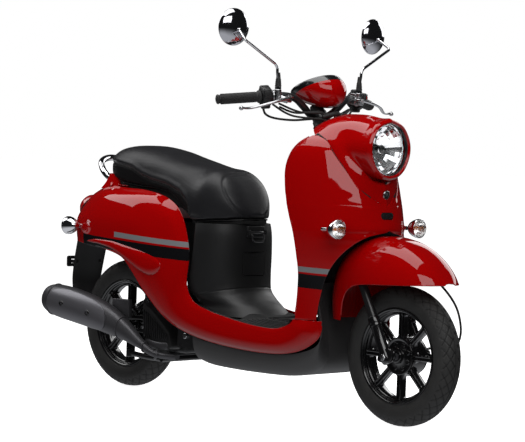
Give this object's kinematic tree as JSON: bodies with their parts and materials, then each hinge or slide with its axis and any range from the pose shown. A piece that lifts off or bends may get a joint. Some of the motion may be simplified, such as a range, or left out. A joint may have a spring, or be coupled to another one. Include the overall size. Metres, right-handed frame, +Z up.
{
  "type": "moped scooter",
  "caption": "Small retro step-through moped scooter with gloss red panels, black seat, round headlight, mirrors, swing unit and spoked wheels.",
  "frame": {"origin": "on the ground, under the middle of the bounding box", "axes": "+X forwards, +Y to the rider's left, +Z up"},
  "size_m": [1.6484, 0.7146, 1.2029],
  "materials": {
    "body_paint": "gloss red paint",
    "black_plastic": "grained black moulding",
    "frame_steel": "black painted steel",
    "chrome": "polished chrome",
    "black_rubber": "matt rubber",
    "tyre_rubber": "tyre rubber",
    "seat_vinyl": "grained black vinyl",
    "cast_alloy": "satin silver casting",
    "clear_lens": "clear lens",
    "red_lens": "red lens",
    "engine_black": "black painted casting",
    "wheel_black": "gloss black casting"
  },
  "bodies": {
    "chassis": {"frame": "frame_steel", "leg_shield": "body_paint", "front_cowl": "body_paint", "headlight_reflector": "chrome", "headlight_lens": "clear_lens", "inner_shield": "black_plastic", "side_cover_right": "body_paint", "side_cover_left": "body_paint", "under_cover": "black_plastic", "floor_board": "black_plastic", "center_cover": "black_plastic", "tail_cover": "body_paint", "tail_light": "red_lens", "front_signal_left": "chrome", "front_signal_right": "chrome", "rear_signal_left": "chrome", "rear_signal_right": "chrome", "grab_rail": "chrome", "rear_mudguard": "black_plastic", "luggage_box": "black_plastic", "fuel_tank": "black_plastic", "shock_rod": "frame_steel", "shock_spring": "chrome"},
    "steering": {"steering_stem": "frame_steel", "front_fender": "body_paint", "handlebar": "frame_steel", "grip_left": "black_rubber", "switch_box_left": "black_plastic", "switch_box_right": "black_plastic", "lever_bracket_left": "cast_alloy", "lever_bracket_right": "cast_alloy", "mirror_stem_left": "chrome", "mirror_stem_right": "chrome", "meter_housing": "body_paint", "throttle_cable": "black_rubber"},
    "fork_lower": {"fork_sliders": "engine_black", "front_brake_cable": "black_rubber"},
    "front_wheel": {"front_rim": "wheel_black", "front_tyre": "tyre_rubber"},
    "throttle": {"throttle_grip": "black_rubber"},
    "lever_right": {"brake_lever_right": "cast_alloy"},
    "lever_left": {"brake_lever_left": "cast_alloy"},
    "mirror_right": {"mirror_head_right": "chrome"},
    "mirror_left": {"mirror_head_left": "chrome"},
    "starter": {"starter_button": "black_plastic"},
    "horn": {"horn_button": "black_plastic"},
    "seat": {"seat_cushion": "seat_vinyl", "seat_pan": "black_plastic"},
    "swing": {"engine_unit": "engine_black", "radiator_cover": "engine_black", "muffler": "engine_black"},
    "rear_wheel": {"rear_rim": "wheel_black", "rear_tyre": "tyre_rubber"},
    "shock_lower": {"shock_body": "frame_steel"},
    "kick": {"kick_lever": "engine_black"},
    "main_stand": {"center_stand": "frame_steel"},
    "prop_stand": {"side_stand": "frame_steel"},
    "key": {"ignition_key": "cast_alloy"},
    "lid": {"fuel_lid": "black_plastic"},
    "hook": {"bag_hook": "black_plastic"}
  },
  "joints": [
    {"name": "steering_turn", "type": "hinge", "parent": "chassis", "child": "steering", "pos_m": [0.69397, 0, 0], "axis": [-0.4462, 0, 0.8949], "range_deg": [-38, 38]},
    {"name": "front_suspension", "type": "slide", "parent": "steering", "child": "fork_lower", "axis": [-0.4462, 0, 0.8949], "range_m": [0, 0.045], "stiffness_N_per_m": 9000, "springref_m": -0.06},
    {"name": "front_wheel_spin", "type": "hinge", "parent": "fork_lower", "child": "front_wheel", "pos_m": [0.61897, 0, 0.20523], "axis": [0, 1, 0], "continuous": true},
    {"name": "rear_suspension", "type": "hinge", "parent": "chassis", "child": "swing", "pos_m": [-0.205, 0, 0.178], "axis": [0, 1, 0], "range_deg": [0, 7], "stiffness_Nm_per_rad": 1800, "springref_deg": -11.46},
    {"name": "rear_wheel_spin", "type": "hinge", "parent": "swing", "child": "rear_wheel", "pos_m": [-0.56103, 0, 0.20523], "axis": [0, 1, 0], "continuous": true},
    {"name": "shock_stroke", "type": "slide", "parent": "chassis", "child": "shock_lower", "axis": [0.3645, 0, 0.9312], "range_m": [0, 0.055], "deforming": ["shock_spring"]},
    {"name": "throttle_twist", "type": "hinge", "parent": "steering", "child": "throttle", "pos_m": [0.146, -0.335, 0.933], "axis": [0.4365, 0.8947, 0.0946], "range_deg": [0, 70], "stiffness_Nm_per_rad": 0.3},
    {"name": "brake_lever_right_pull", "type": "hinge", "parent": "steering", "child": "lever_right", "pos_m": [0.268, -0.15, 0.946], "axis": [0, 0, -1], "range_deg": [0, 17], "stiffness_Nm_per_rad": 4},
    {"name": "brake_lever_left_pull", "type": "hinge", "parent": "steering", "child": "lever_left", "pos_m": [0.268, 0.15, 0.946], "axis": [0, 0, 1], "range_deg": [0, 17], "stiffness_Nm_per_rad": 4},
    {"name": "mirror_right_swivel", "type": "hinge", "parent": "steering", "child": "mirror_right", "pos_m": [0.2, -0.303, 1.138], "axis": [0, 0, 1], "range_deg": [-15, 15]},
    {"name": "mirror_left_swivel", "type": "hinge", "parent": "steering", "child": "mirror_left", "pos_m": [0.2, 0.303, 1.138], "axis": [0, 0, 1], "range_deg": [-15, 15]},
    {"name": "starter_button_press", "type": "slide", "parent": "steering", "child": "starter", "axis": [-0.8988, 0.4384, 0], "range_m": [0, 0.0025], "stiffness_N_per_m": 500},
    {"name": "horn_button_press", "type": "slide", "parent": "steering", "child": "horn", "axis": [-0.8988, -0.4384, 0], "range_m": [0, 0.0025], "stiffness_N_per_m": 500},
    {"name": "seat_open", "type": "hinge", "parent": "chassis", "child": "seat", "pos_m": [0.006, 0, 0.573], "axis": [0, 1, 0], "range_deg": [0, 70]},
    {"name": "kick_lever_swing", "type": "hinge", "parent": "swing", "child": "kick", "pos_m": [-0.315, 0.126, 0.205], "axis": [0, -1, 0], "range_deg": [0, 48], "stiffness_Nm_per_rad": 3, "springref_deg": -28.65},
    {"name": "center_stand_swing", "type": "hinge", "parent": "swing", "child": "main_stand", "pos_m": [-0.315, 0, 0.112], "axis": [0, -1, 0], "range_deg": [0, 88], "stiffness_Nm_per_rad": 4, "springref_deg": -40.11},
    {"name": "side_stand_swing", "type": "hinge", "parent": "chassis", "child": "prop_stand", "pos_m": [-0.17, 0.1325, 0.158], "axis": [0, -1, 0], "range_deg": [0, 75], "stiffness_Nm_per_rad": 3, "springref_deg": -34.38},
    {"name": "key_turn", "type": "hinge", "parent": "chassis", "child": "key", "pos_m": [0.263, -0.075, 0.7], "axis": [-1, 0, 0], "range_deg": [0, 90]},
    {"name": "fuel_lid_open", "type": "hinge", "parent": "chassis", "child": "lid", "pos_m": [-0.0105, 0.047, 0.4325], "axis": [0, 0, 1], "range_deg": [0, 100]},
    {"name": "bag_hook_fold", "type": "hinge", "parent": "chassis", "child": "hook", "pos_m": [0.001, 0, 0.53], "axis": [0, -1, 0], "range_deg": [0, 85]}
  ],
  "couplings": [
    {"joint": "shock_stroke", "follows": "rear_suspension", "m_per_rad": 0.4036}
  ]
}
